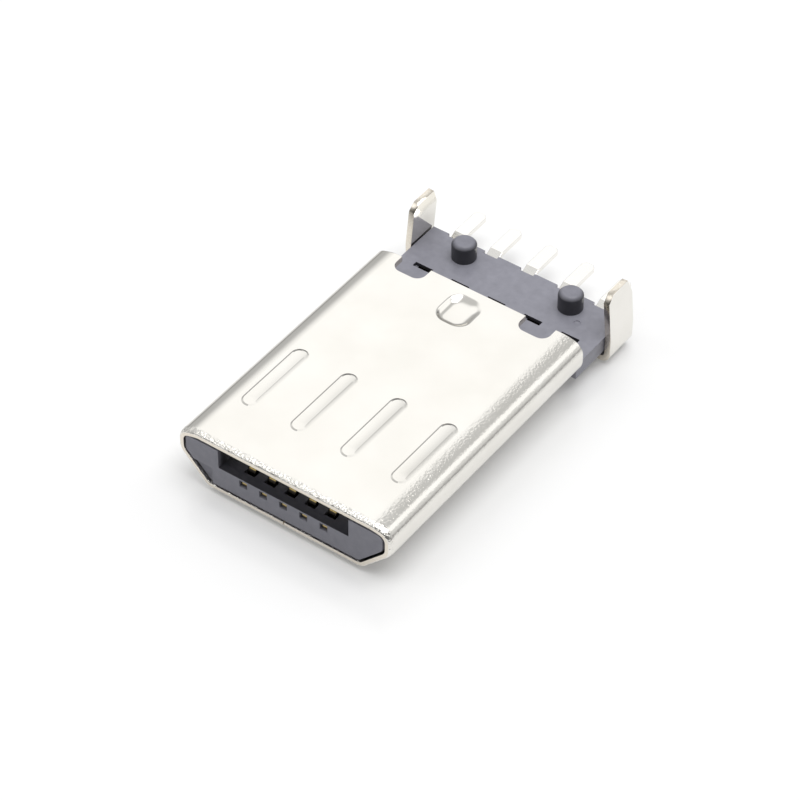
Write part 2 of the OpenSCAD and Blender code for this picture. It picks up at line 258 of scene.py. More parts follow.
# %% [markdown]
# The sheet's cut edges were sheared by a press tool. They are duller than the plate and a little
# yellower, with fine tears across them. One material for both would lose the thin line that tells the
# eye how thick the sheet is, so the edges get their own.

# %% Sheared edge
# Shear marks are finer than this, and are drawn coarser so that they show.
TEAR_SIZE, TEAR_DEPTH = 0.06, 0.004


def sheared_edge():
    # A sheared edge scatters the room into a dull, warm line.
    material, tree, coords = new_material("sheared_edge_of_plated_steel")
    grain = add_node(
        tree, "ShaderNodeTexNoise", {"Vector": coords, "Scale": per_mm(TEAR_SIZE), "Detail": 3}
    )
    colour = add_node(
        tree,
        "ShaderNodeValToRGB",
        {0: grain.outputs[0]},
        stops=[(0, linear("#d0c6b5")), (1, linear("#f0ebe2"))],
    )
    bump = add_node(
        tree,
        "ShaderNodeBump",
        {"Strength": 0.5, "Distance": TEAR_DEPTH * MM, "Height": grain.outputs[0]},
    )
    shader = add_node(
        tree,
        "ShaderNodeBsdfPrincipled",
        {"Base Color": colour.outputs[0], "Metallic": 1.0, "Roughness": 0.18, "Normal": bump.outputs[0]},
    )
    add_node(tree, "ShaderNodeOutputMaterial", {0: shader.outputs[0]})
    return material


cut_steel = sheared_edge()
print("made", cut_steel.name)

# %% [markdown]
# The shell is one sheet, cut flat and folded. It is drawn the same way: the wide wall is a flat
# outline with holes, filled with triangles, and the sides are folded down from its long edges by spins
# and straight runs. A closed block with its inside cut away would also do, but the folded sheet gives
# true bends, and the Solidify modifier then gives it the thickness of the real sheet.

# %% Sizes of the shell
SHELL_W = (shell_high.x - shell_low.x) / MM
SHELL_H = 1.8
SHEET_T = 0.18
FLOOR_W = 5.05
KNEE_H = 0.94
KNEE_BEND, FLOOR_BEND = 0.5, 0.4
ROOF_W = 5.48
SEAM_GAP = 0.04
ROLL_L, ROLL_T, ROLL_STEPS = 0.22, 0.08, 8
# Width of the narrow strip round each flat face, which keeps its shading flat
MARGIN = 0.02
# Points closer than these are one point
TOUCH, MERGE = 1e-4, 1e-3

side_in = (SHELL_W - FLOOR_W) / 2
knee_turn = math.atan2(side_in, KNEE_H)
floor_turn = math.pi / 2 - knee_turn
knee_cut = KNEE_BEND * math.tan(knee_turn / 2)
floor_cut = FLOOR_BEND * math.tan(floor_turn / 2)
flat_half = FLOOR_W / 2 - floor_cut
roof_half = ROOF_W / 2
front = ROLL_L + MARGIN
print("flat of the wide wall", round(2 * roof_half, 2), "mm, of the narrow wall", round(2 * flat_half, 2))

# %% [markdown]
# Sheet work needs few moves. An outline is a loop of edges whose corners a vertex bevel rounds. A fill
# turns it into a flat face with holes, and a thin inset round its rim keeps the smooth shading of the
# bends from creeping into the flat. A fold spins an edge about the centre of a bend.

# %% Outlines and fills
def outline(bm, points, round_corners=(), radius=0.0, segments=8):
    """A closed loop of edges through a few points, with some of its square corners rounded."""
    before = set(bm.edges)
    verts = [bm.verts.new(p) for p in points]
    for pair in zip(verts, verts[1:] + verts[:1]):
        bm.edges.new(pair)
    if round_corners:
        bmesh.ops.bevel(
            bm,
            geom=[verts[i] for i in round_corners],
            offset=radius,
            offset_type="OFFSET",
            segments=segments,
            profile=0.5,
            affect="VERTICES",
            material=-1,
            clamp_overlap=False,
        )
    made = [e for e in bm.edges if e not in before]
    ends = dict.fromkeys(v for e in made for v in e.verts)
    bmesh.ops.remove_doubles(bm, verts=list(ends), dist=TOUCH)
    return [e for e in bm.edges if e not in before]


def rectangle(x, y, width, length, z):
    """Corners of an upright rectangle, counted from its lower left."""
    return [
        (x - width / 2, y, z),
        (x + width / 2, y, z),
        (x + width / 2, y + length, z),
        (x - width / 2, y + length, z),
    ]


def fill_flat(bm, rim, holes, up):
    """Fills a flat outline with triangles round its holes, and returns a face for each hole."""
    edges = [e for loop in (rim, *holes) for e in loop]
    made = bmesh.ops.triangle_fill(bm, use_beauty=True, edges=edges, normal=(0, 0, up))["geom"]
    flat = [g for g in made if isinstance(g, bmesh.types.BMFace)]
    plugs = [bmesh.ops.edgeloop_fill(bm, edges=loop)["faces"][0] for loop in holes]
    for face in plugs:
        if face.normal.z * up < 0:
            face.normal_flip()
    bmesh.ops.inset_region(
        bm, faces=flat, thickness=MARGIN, use_boundary=True, use_even_offset=True
    )
    return plugs


sheet = bmesh.new()
print("an empty sheet with", len(sheet.faces), "faces")

# %% [markdown]
# The wide wall carries four pressed ribs. A rib starts as a flat face with round ends. Two insets make
# its steep wall and a third eases it into the top, and cuts across the top let it fall to the right
# and towards the mouth. The steep wall keeps sharp edges, because smooth shading would blur the thin
# dark line that a pressed edge shows.

# %% Ribs
RIB_N, RIB_PITCH, RIB_W, RIB_L, RIB_Y = 4, 1.61, 0.52, 2.6, 1.57
RIB_WALL, RIB_EASE, RIB_RISE = 0.1, 0.02, 0.043
RIB_LIP, RIB_RAMP, RIB_STEP = 0.3, 0.1, 0.5
RIB_CUTS_X, RIB_CUTS_Y, CUT_SNAP = 8, 30, 0.005
RIB_END_STEPS = 10
CREASE_TILT = math.radians(15)


def rib_x(i):
    """Middle of a rib, counted from the left."""
    return (i - (RIB_N - 1) / 2) * RIB_PITCH


def press_rib(bm, face, left):
    """Raises a rib: steep at its left and far side, falling to the right and towards the mouth."""
    foot, top, ease = (
        bmesh.ops.inset_region(bm, faces=[face], thickness=inward, use_even_offset=True)["faces"]
        for inward in (RIB_WALL / 2, RIB_WALL / 2, RIB_EASE)
    )
    half_way = {v for f in foot for v in f.verts}.intersection(v for f in top for v in f.verts)
    raised = {v for f in top + ease for v in f.verts}
    cuts = [((left + RIB_W * i / RIB_CUTS_X, 0, 0), (1, 0, 0)) for i in range(1, RIB_CUTS_X)]
    cuts += [((0, RIB_Y + RIB_L * i / RIB_CUTS_Y, 0), (0, 1, 0)) for i in range(1, RIB_CUTS_Y)]
    geom = [face, *face.edges, *face.verts]
    for place, across in cuts:
        cut = bmesh.ops.bisect_plane(bm, geom=geom, plane_co=place, plane_no=across, dist=CUT_SNAP)
        geom = cut["geom"]
    raised.update(g for g in geom if isinstance(g, bmesh.types.BMVert))
    for vert in raised:
        over = (vert.co.x - left) / RIB_W
        ramp = min(1, max(0, (vert.co.y - RIB_Y - RIB_LIP) / RIB_RAMP))
        share = RIB_STEP + (1 - RIB_STEP) * (3 - 2 * ramp) * ramp ** 2
        rise = RIB_RISE * (1 - over ** 2) * share
        vert.co.z += min(rise, RIB_RISE / 2) if vert in half_way else rise
    for side in foot + top:
        side.normal_update()
        if side.normal.angle(Vector((0, 0, 1))) > CREASE_TILT:
            for edge in side.edges:
                edge.smooth = False


print("ribs at x", [round(rib_x(i), 3) for i in range(RIB_N)])

# %% [markdown]
# Behind the ribs lies a sunk dimple, and the rear edge has two notches. All of them are part of one
# outline: the notches are in its rim, and the ribs and the dimple are holes that get their own faces.
# The dimple's face is inset step by step, each step lower and a little to the front left, which makes
# a bowl that is steeper on that side.

# %% Wide wall
DIMPLE_W, DIMPLE_L, DIMPLE_R, DIMPLE_SETBACK = 1.1, 1.24, 0.42, 0.24
DIMPLE_INSET, DIMPLE_SHIFT = 0.05, Vector((-0.014, -0.02, 0))
DIMPLE_DROPS = 0.018, 0.034, 0.025, 0.018, 0.011, 0.006, 0.003
NOTCH_SPREAD, NOTCH_W, NOTCH_L, NOTCH_R = 4.1, 0.98, 0.54, 0.28

notch_out, notch_in = NOTCH_SPREAD / 2 + NOTCH_W / 2, NOTCH_SPREAD / 2 - NOTCH_W / 2
notch_bottom = SHELL_L - NOTCH_L
right_half = [
    (roof_half, front),
    (roof_half, SHELL_L),
    (notch_out, SHELL_L),
    (notch_out, notch_bottom),
    (notch_in, notch_bottom),
    (notch_in, SHELL_L),
]
wall = right_half + [(-x, y) for x, y in reversed(right_half)]
notch_corners = [i for i, (x, y) in enumerate(wall) if y == notch_bottom]
rim = outline(sheet, [(x, y, SHELL_H) for x, y in wall], notch_corners, NOTCH_R)
holes = []
for i in range(RIB_N):
    rib_plan = rectangle(rib_x(i), RIB_Y, RIB_W, RIB_L, SHELL_H)
    holes.append(outline(sheet, rib_plan, range(4), RIB_W / 2, RIB_END_STEPS))
dimple_plan = rectangle(0, SHELL_L - DIMPLE_SETBACK - DIMPLE_L, DIMPLE_W, DIMPLE_L, SHELL_H)
holes.append(outline(sheet, dimple_plan, range(4), DIMPLE_R))
*ribs, dimple = fill_flat(sheet, rim, holes, 1)
for i, face in enumerate(ribs):
    press_rib(sheet, face, rib_x(i) - RIB_W / 2)
for drop in DIMPLE_DROPS:
    bmesh.ops.inset_region(
        sheet, faces=[dimple], thickness=DIMPLE_INSET, depth=-drop, use_even_offset=True
    )
    bmesh.ops.translate(sheet, verts=dimple.verts, vec=DIMPLE_SHIFT)
print("wide wall", len(sheet.faces), "faces")

# %% [markdown]
# The sides fold down from the long edges of the wide wall. A press never gives a bend of one radius,
# so each starts in two stages, a short first turn and a slow one, which turn further on the left. Then
# come a tight bend, a short upright run, a knee, a slanted run and a last bend that brings the sheet
# under the plug. The slow radius is worked out, so that both sides end at the same width.

# %% Folds
BEND_STEPS = 10


def turned(vector, axis, angle):
    """A vector turned about an axis."""
    return Matrix.Rotation(angle, 3, axis) @ vector


def edge_between(bm, a, b):
    """The edge whose ends lie at two points."""
    ends = {tuple(round(c, 3) for c in a), tuple(round(c, 3) for c in b)}
    return next(e for e in bm.edges if {tuple(round(c, 3) for c in v.co) for v in e.verts} == ends)


def fold(bm, edge, axis, centre, turn):
    """Bends the sheet on from an edge, and returns the new edge."""
    made = bmesh.ops.spin(
        bm,
        geom=[edge, *edge.verts],
        cent=centre,
        axis=axis,
        angle=turn,
        steps=BEND_STEPS,
        use_merge=False,
        use_duplicate=False,
    )
    return next(g for g in made["geom_last"] if isinstance(g, bmesh.types.BMEdge))


def run(bm, edge, step):
    """Carries the sheet straight on from an edge, and returns the new edge."""
    made = bmesh.ops.extrude_edge_only(bm, edges=[edge])["geom"]
    bmesh.ops.translate(bm, verts=[g for g in made if isinstance(g, bmesh.types.BMVert)], vec=step)
    return next(
        g for g in made if isinstance(g, bmesh.types.BMEdge) and g != edge and g.is_boundary
        and all(v in made for v in g.verts)
    )


print("a bend has", BEND_STEPS, "faces across it")

# %% Folded sides
TOP_BEND, FIRST_BEND = 0.4, 0.3
FIRST_TURN = {-1: math.radians(10), 1: math.radians(1.5)}
EASE_TURN = {-1: math.radians(21), 1: math.radians(14)}

slant = math.hypot(side_in, KNEE_H) - knee_cut - floor_cut
for side in (-1, 1):
    first, ease = FIRST_TURN[side], EASE_TURN[side]
    ease_run = SHELL_W / 2 - roof_half - FIRST_BEND * math.sin(first) - TOP_BEND * (1 - math.sin(ease))
    ease_bend = ease_run / (math.sin(ease) - math.sin(first))
    bend_drop = FIRST_BEND * (1 - math.cos(first)) + TOP_BEND * math.cos(ease)
    bend_drop += ease_bend * (math.cos(first) - math.cos(ease))
    upright = SHELL_H - bend_drop - KNEE_H - knee_cut
    ends = [(side * roof_half, y, SHELL_H) for y in (front, SHELL_L)]
    edge = edge_between(sheet, *ends)
    axis, heading = Vector((0, side, 0)), Vector((side, 0, 0))
    for turn, radius, straight in (
        (first, FIRST_BEND, 0),
        (ease - first, ease_bend, 0),
        (math.pi / 2 - ease, TOP_BEND, upright),
        (knee_turn, KNEE_BEND, slant),
        (floor_turn, FLOOR_BEND, 0),
    ):
        centre = edge.verts[0].co + turned(heading, axis, math.pi / 2) * radius
        edge = fold(sheet, edge, axis, centre, turn)
        heading = turned(heading, axis, turn)
        if straight:
            edge = run(sheet, edge, heading * straight)
    print("side ends at", [tuple(round(c, 3) for c in v.co) for v in edge.verts])

# %% [markdown]
# The narrow wall is in two halves that meet in a seam. Each half has a window for a latch hook, and it
# runs on behind the shell as a sole that turns up into a lug for the circuit board. The lug leans in a
# little, as the real ones do. Its tip is an edge cut in three, whose four ends are moved to give a
# chamfer in front and a longer cut behind.

# %% Narrow wall, sole and lugs
LUG_Y, LUG_L = 10.13, 1.12
LUG_BEND, LUG_LEAN, LUG_RISE = 0.3, math.radians(5), 1.46
LUG_CHAMFER, LUG_CUT_L, LUG_CUT_H = 0.22, 0.2, 0.5
SEAT_H = 0.85
SOLE_INSET, SOLE_FLARE = 0.45, 0.5
WINDOW_X, WINDOW_Y, WINDOW_W, WINDOW_L = 2.0, 1.35, 0.7, 0.85

lug_end = LUG_Y + LUG_L
root_half = SHELL_W / 2 - LUG_BEND
sole_half = SHELL_W / 2 - SOLE_INSET
half_plan = [
    (SEAM_GAP / 2, front),
    (flat_half, front),
    (flat_half, SHELL_L),
    (sole_half, SHELL_L + SOLE_FLARE),
    (sole_half, LUG_Y),
    (root_half, LUG_Y),
    (root_half, lug_end),
    (SEAM_GAP / 2, lug_end),
]
tip_shape = [
    (0, LUG_RISE - LUG_CHAMFER),
    (LUG_CHAMFER, LUG_RISE),
    (LUG_L - LUG_CUT_L, LUG_RISE),
    (LUG_L, LUG_RISE - LUG_CUT_H),
]
for side in (-1, 1):
    rim = outline(sheet, [(side * x, y, 0) for x, y in half_plan])
    window = outline(sheet, rectangle(side * WINDOW_X, WINDOW_Y, WINDOW_W, WINDOW_L, 0))
    bmesh.ops.delete(sheet, geom=fill_flat(sheet, rim, [window], -1), context="FACES")
    edge = edge_between(sheet, (side * root_half, LUG_Y, 0), (side * root_half, lug_end, 0))
    edge = fold(sheet, edge, Vector((0, -side, 0)), (side * root_half, 0, LUG_BEND), math.pi / 2)
    edge = run(sheet, edge, (0, 0, SEAT_H - LUG_BEND))
    rise = turned(Vector((0, 0, LUG_RISE)), Vector((0, -side, 0)), LUG_LEAN)
    edge = run(sheet, edge, rise)
    tip = bmesh.ops.subdivide_edges(sheet, edges=[edge], cuts=2)["geom_inner"]
    inner = [g for g in tip if isinstance(g, bmesh.types.BMVert)]
    corners = {v for g in inner for e in g.link_edges for v in e.verts}
    corners = sorted(corners, key=lambda v: v.co.y)
    foot = corners[0].co - rise
    for corner, (along, height) in zip(corners, tip_shape):
        corner.co = foot + rise * (height / LUG_RISE) + Vector((0, along, 0))
    print("lug corners", len(corners))

# %% [markdown]
# The walls and sides meet along shared edges, which are merged here. A thin strip at the rear end of
# the bends and a band at the mouth are split off, so that later rounding of these edges stays narrow.
# Spins can leave faces turned inwards, so the normals are worked out again before the sheet gets its
# thickness.

# %% Joined sheet
FACING = 0.9

bmesh.ops.remove_doubles(sheet, verts=sheet.verts, dist=TOUCH)
bends = [
    f for f in sheet.faces
    if all(abs(v.co.x) > flat_half - MERGE and v.co.y < SHELL_L + MERGE for v in f.verts)
]
geom = [*bends, *(e for f in bends for e in f.edges), *(v for f in bends for v in f.verts)]
bmesh.ops.bisect_plane(
    sheet, geom=list(dict.fromkeys(geom)), plane_co=(0, SHELL_L - MARGIN, 0), plane_no=(0, 1, 0)
)
mouth = [e for e in sheet.edges if all(abs(v.co.y - front) < TOUCH for v in e.verts)]
made = bmesh.ops.extrude_edge_only(sheet, edges=mouth)["geom"]
bmesh.ops.translate(
    sheet, verts=[g for g in made if isinstance(g, bmesh.types.BMVert)], vec=(0, -front, 0)
)
bmesh.ops.recalc_face_normals(sheet, faces=sheet.faces)
roof = max(sheet.faces, key=lambda f: f.calc_center_median().z if abs(f.normal.z) > FACING else -1)
if roof.normal.z < 0:
    bmesh.ops.reverse_faces(sheet, faces=sheet.faces)
outer_faces = len(sheet.faces)
open_edges = sum(e.is_boundary for e in sheet.edges)
print("sheet", outer_faces, "faces,", open_edges, "open edges")

# %% [markdown]
# Solidify adds the inner side and the cut edges, and gives the edges their own material. It runs once
# on a helper object, because the mouth is rounded afterwards and needs the thick mesh. Under the
# dimple the inner side would bulge into the moulding, so it is pressed flat there.

# %% Thickness of the sheet
# The wide wall's inner side, with what the ribs and the dimple move, lies within this height
ROOF_BAND = SHEET_T / 2 + 0.02


def add_modifier(piece, kind, **settings):
    """Adds one modifier with its settings."""
    modifier = piece.modifiers.new(kind.title(), kind)
    for setting, value in settings.items():
        setattr(modifier, setting, value)


flat_sheet = bpy.data.meshes.new("flat_sheet")
sheet.to_mesh(flat_sheet)
sheet.free()
for finish in (nickel, cut_steel):
    flat_sheet.materials.append(finish)
thin = bpy.data.objects.new("thin_sheet", flat_sheet)
bpy.context.scene.collection.objects.link(thin)
add_modifier(
    thin, "SOLIDIFY", thickness=SHEET_T, offset=-1, use_even_offset=False, material_offset_rim=1
)
thick = bmesh.new()
thick.from_object(thin, bpy.context.evaluated_depsgraph_get())
bpy.data.objects.remove(thin)
roof_z = SHELL_H - SHEET_T
for vert in thick.verts:
    if abs(vert.co.x) < roof_half and abs(vert.co.z - roof_z) < ROOF_BAND:
        vert.co.z = max(vert.co.z, roof_z)
print("with its thickness", len(thick.faces), "faces")

# %% [markdown]
# The mouth's outer edge is rolled in, gently along the plug and tightly across the sheet. A bevel is
# as wide one way as the other, so the mesh is squeezed along the plug, bevelled, and stretched back.
# The finished mesh becomes a piece in the model's metres that takes the place of its solid. A live
# Bevel modifier breaks its other sharp edges by no more than a hair, which is enough to keep the walls
# and the cut edges apart in the shading.

# %% Rolled edge of the mouth
thick.faces.ensure_lookup_table()
outside = set(thick.faces[:outer_faces])
mouth = [
    e for e in thick.edges
    if all(abs(v.co.y) < TOUCH for v in e.verts) and len(outside.intersection(e.link_faces)) == 1
]
squeeze = Matrix.Diagonal((1, ROLL_T / ROLL_L, 1, 1))
thick.transform(squeeze)
rolled = bmesh.ops.bevel(
    thick,
    geom=mouth,
    offset=ROLL_T,
    offset_type="OFFSET",
    segments=ROLL_STEPS,
    profile=0.5,
    affect="EDGES",
    material=-1,
    clamp_overlap=False,
)
thick.transform(squeeze.inverted())
for face in rolled["faces"]:
    face.material_index = 0
print("rolled", len(mouth), "edges")

# %% Shell
# Areas that differ by less than this count as equal. The modifier's own limit is far above this plug.
SAME_AREA = 0.001 * MM ** 2


def add_piece(name, bm, *materials):
    """Turns a bmesh in drawing millimetres into a smooth-shaded piece of the plug."""
    bm.transform(drawing_to_model)
    mesh = bpy.data.meshes.new(name)
    bm.to_mesh(mesh)
    bm.free()
    for material in materials:
        mesh.materials.append(material)
    mesh.shade_smooth()
    piece = bpy.data.objects.new(name, mesh)
    bpy.context.scene.collection.objects.link(piece)
    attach(piece, "root")
    print(name, len(mesh.polygons), "faces")
    return piece


def break_edges(piece, width, segments, angle):
    """Rounds the edges that are sharper than an angle in degrees, by at most a width in millimetres."""
    # The modifier takes less than the width where fine faces would overlap, most of all on the shell.
    add_modifier(
        piece,
        "BEVEL",
        width=width * MM,
        segments=segments,
        limit_method="ANGLE",
        angle_limit=math.radians(angle),
    )


def flatten_shading(piece):
    """Lets the large flat faces of a piece set the shading of the small ones beside them."""
    add_modifier(piece, "WEIGHTED_NORMAL", weight=100, thresh=SAME_AREA, keep_sharp=True)


shell = add_piece("folded_shell", thick, nickel, cut_steel)
break_edges(shell, width=0.03, segments=3, angle=60)
flatten_shading(shell)
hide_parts("shell")

# %% [markdown]
# The insulator is moulded in black glass-filled nylon. Its colour is partly painted shade and light. A
# ramp along the plug paints the strip just inside the mouth dark, the slot's floor has a darker ramp of
# its own, and a ramp upwards paints the sides of the posts and the walls of the slits dark and the tops
# of the posts light. A faint mottle lies over it all.

# %% Black moulding
MOTTLE_SIZE = 0.25
# The mould's texture is finer, and is drawn this coarse so that it shows.
TEXTURE_SIZE, TEXTURE_DEPTH = 0.05, 0.004


def black_nylon(name, axis, start, length, tones):
    """Black nylon whose tone changes along an axis. Tones are pairs of a place in mm and a colour."""
    # Moulded nylon scatters most light in its matt skin, so the eye sees a soft grey, not a deep black.
    material, tree, coords = new_material(name)
    place = add_node(tree, "ShaderNodeSeparateXYZ", {0: coords})
    along = add_node(
        tree,
        "ShaderNodeMapRange",
        {0: place.outputs[axis], "From Min": start, "From Max": start + length * MM},
    )
    tone = add_node(
        tree,
        "ShaderNodeValToRGB",
        {0: along.outputs[0]},
        stops=[(at / length, linear(colour)) for at, colour in tones],
    )
    mottle = add_node(
        tree, "ShaderNodeTexNoise", {"Vector": coords, "Scale": per_mm(MOTTLE_SIZE), "Detail": 4}
    )
    light = add_node(
        tree, "ShaderNodeMapRange", {0: mottle.outputs[0], "To Min": 0.8, "To Max": 1.2}
    )
    colour = add_node(
        tree, "ShaderNodeVectorMath", {0: tone.outputs[0], "Scale": light.outputs[0]}, operation="SCALE"
    )
    grain = add_node(
        tree, "ShaderNodeTexNoise", {"Vector": coords, "Scale": per_mm(TEXTURE_SIZE), "Detail": 2}
    )
    bump = add_node(
        tree,
        "ShaderNodeBump",
        {"Strength": 0.4, "Distance": TEXTURE_DEPTH * MM, "Height": grain.outputs[0]},
    )
    shader = add_node(
        tree,
        "ShaderNodeBsdfPrincipled",
        {
            "Base Color": colour.outputs[0],
            "Roughness": 0.42,
            "IOR": 1.53,
            "Normal": bump.outputs[0],
        },
    )
    add_node(tree, "ShaderNodeOutputMaterial", {0: shader.outputs[0]})
    return material


POST_R, POST_H, POST_CHAMFER, POST_X, POST_Y = 0.36, 0.58, 0.1, 1.78, 10.63
SLOT_TONE_L = 1.0
# Tones along the plug: a little darker on the front face, painted shade just inside the mouth, then the
# flange's tone from 0.4 mm on
PLUG_TONES_WITH_PAINTED_SHADE = [
    (0.08, "#7c7c86"),
    (0.14, "#4c4c52"),
    (0.26, "#4c4c52"),
    (0.4, "#909096"),
    (8.1, "#8a8a94"),
]
# Painted shade on the posts' sides and the slits' walls, and painted light towards the posts' tops
SIDE_SHADE_AND_TOP_LIGHT_TONES = [(POST_H - POST_CHAMFER, "#34343a"), (POST_H - 0.02, "#80808a")]
# Painted shade on the slot's floor, darkest at the mouth and lighter deeper in
SLOT_FLOOR_SHADE_TONES = [(0.05, "#38383e"), (0.3, "#606068"), (0.6, "#84848c")]
seat_z = shell_low.z + SEAT_H * MM
nylon = black_nylon("black_glass_filled_nylon_moulding", "Y", shell_low.y, SHELL_L, PLUG_TONES_WITH_PAINTED_SHADE)
painted_shade_nylon = black_nylon("black_nylon_with_painted_shade_and_light", "Z", seat_z, POST_H, SIDE_SHADE_AND_TOP_LIGHT_TONES)
slot_floor_shade_nylon = black_nylon("black_nylon_slot_floor_with_painted_shade", "Y", shell_low.y, SLOT_TONE_L, SLOT_FLOOR_SHADE_TONES)
print("made", nylon.name, painted_shade_nylon.name, slot_floor_shade_nylon.name)

# %% [markdown]
# The moulding's many small cuts are already exact in its solid, so drawing them again would gain nothing.
# A merged copy of the solid is taken, its coarse posts are cut off and the holes are filled, and a Bevel
# modifier gives it the small radii that a mould leaves. The floor of the slot and the walls of the slits
# get painted shade of their own.

# %% Insulator
SLIT_FRONT, SLIT_REAR = 9.5, 9.67
SLOT_L, SLOT_Z = 5.2, 0.94
NEAR, WALL_TILT = 0.01, 0.5
FLAT_ANGLE = math.radians(1)

moulding = bmesh.new()
moulding.from_mesh(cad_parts["insulator"].data)
moulding.transform(drawing_to_model.inverted())
bmesh.ops.remove_doubles(moulding, verts=moulding.verts, dist=MERGE)
post_faces = []
for face in moulding.faces:
    middle = face.calc_center_median()
    if middle.z > SEAT_H + NEAR and middle.y > SHELL_L:
        post_faces.append(face)
bmesh.ops.delete(moulding, geom=post_faces, context="FACES")
bmesh.ops.holes_fill(moulding, edges=[e for e in moulding.edges if e.is_boundary], sides=0)
bmesh.ops.dissolve_limit(
    moulding, angle_limit=FLAT_ANGLE, verts=moulding.verts, edges=moulding.edges
)
for face in moulding.faces:
    middle = face.calc_center_median()
    in_slit = SLIT_FRONT - NEAR < middle.y < SLIT_REAR + NEAR and middle.z < SEAT_H - NEAR
    on_slot_floor = middle.y < SLOT_L and abs(middle.z - SLOT_Z) < 2 * NEAR
    # The walls of the slits get the painted shade of the posts' sides.
    if in_slit and abs(face.normal.z) < WALL_TILT:
        face.material_index = 1
    # The slot's floor gets its own painted shade.
    if on_slot_floor and face.normal.z > WALL_TILT:
        face.material_index = 2
insulator = add_piece("insulator_moulding", moulding, nylon, painted_shade_nylon, slot_floor_shade_nylon)
break_edges(insulator, width=0.025, segments=2, angle=40)
flatten_shading(insulator)
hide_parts("insulator")

# %% [markdown]
# Two posts on the flange find their holes in the circuit board. Each is a short pin with a chamfer,
# so half its profile is drawn once and spun. Its foot goes a little into the flange, and no gap shows
# there.

# %% Locating posts
POST_FOOT, POST_STEPS = 0.05, 48

post_profile = [
    (0, POST_H),
    (POST_R - POST_CHAMFER, POST_H),
    (POST_R, POST_H - POST_CHAMFER),
    (POST_R, 0),
    (POST_R, -POST_FOOT),
    (0, -POST_FOOT),
]
posts = bmesh.new()
for side in (-1, 1):
    verts = [posts.verts.new((side * POST_X + r, POST_Y, SEAT_H + z)) for r, z in post_profile]
    wire = [posts.edges.new(pair) for pair in zip(verts, verts[1:])]
    bmesh.ops.spin(
        posts,
        geom=verts + wire,
        cent=(side * POST_X, POST_Y, 0),
        axis=(0, 0, 1),
        angle=2 * math.pi,
        steps=POST_STEPS,
        use_merge=True,
        use_duplicate=False,
    )
bmesh.ops.remove_doubles(posts, verts=posts.verts, dist=TOUCH)
bmesh.ops.recalc_face_normals(posts, faces=posts.faces)
# The posts' sides carry painted shade and their tops painted light.
post_piece = add_piece("locating_posts", posts, painted_shade_nylon)
break_edges(post_piece, width=0.03, segments=3, angle=30)
flatten_shading(post_piece)

# %% [markdown]
# The contacts are stamped from thin bronze strip, plated with gold where they rub and tinned where they
# are soldered. One material serves the whole strip, and its colour follows the place: tin behind the
# flange, gold above a height and at the nose, and dark bronze between. The gold above the height is a
# thin pale band at the crest, partly plating and partly a painted glint. At the nose the gold is mixed
# half with the bronze as painted shade in the windows, and the bronze is painted dark as the shade of the
# slot.

# %% Plated strip
# Rolling lines are finer than this, and are drawn coarser so that they show.
STRIP_GRAIN = 0.08
# Axis, where its millimetres start, where a plate begins, where it is full, and its share there
# A thin band of pale gold at the crest: plating and a painted glint
CREST_GOLD_AND_GLINT = "Z", shell_low.z, 1.01, 1.03, 1
# Only half gold at the nose, painted shade in the windows
NOSE_GOLD_IN_PAINTED_SHADE = "Y", shell_low.y, 0.25, 0.15, 0.5
TAIL = "Y", shell_low.y, 11.05, 11.15, 1


def plated_strip():
    # A thin band of pale gold paints a small yellow glint in the dark slot, dark bronze paints its shade,
    # and tin gives a pale soft mirror at the tails.
    material, tree, coords = new_material("plated_bronze_strip_with_painted_glint_and_shade")
    place = add_node(tree, "ShaderNodeSeparateXYZ", {0: coords})
    shares = []
    for axis, start, none, full, most in (CREST_GOLD_AND_GLINT, NOSE_GOLD_IN_PAINTED_SHADE, TAIL):
        limits = {"From Min": start + none * MM, "From Max": start + full * MM, "To Max": most}
        share = add_node(tree, "ShaderNodeMapRange", {0: place.outputs[axis], **limits})
        shares.append(share.outputs[0])
    crest, nose, tail = shares
    gold = add_node(tree, "ShaderNodeMath", {0: crest, 1: nose}, operation="MAXIMUM")
    # Bronze painted darker than bare metal, as the shade of the slot
    colour = linear("#4a453d")
    for share, plate in ((gold.outputs[0], "#ecd08a"), (tail, "#f3f1ec")):
        mix = add_node(
            tree, "ShaderNodeMix", {0: share, 6: colour, 7: linear(plate)}, data_type="RGBA"
        )
        colour = mix.outputs[2]
    grain = add_node(
        tree, "ShaderNodeTexNoise", {"Vector": coords, "Scale": per_mm(STRIP_GRAIN), "Detail": 3}
    )
    rough = add_node(
        tree, "ShaderNodeMapRange", {0: grain.outputs[0], "To Min": 0.12, "To Max": 0.22}
    )
    shader = add_node(
        tree,
        "ShaderNodeBsdfPrincipled",
        {"Base Color": colour, "Metallic": 1.0, "Roughness": rough.outputs[0]},
    )
    add_node(tree, "ShaderNodeOutputMaterial", {0: shader.outputs[0]})
    return material


strip_finish = plated_strip()
print("made", strip_finish.name)

# %% [markdown]
# The latch springs are rolled spring steel without plate, greyer than the shell and less even. Only
# their hooks come out of the narrow wall, so a mottled tone and roughness are enough.

# %% Spring steel
# The roll's marks are finer than this, and are drawn coarser so that they show.
SPRING_GRAIN = 0.1


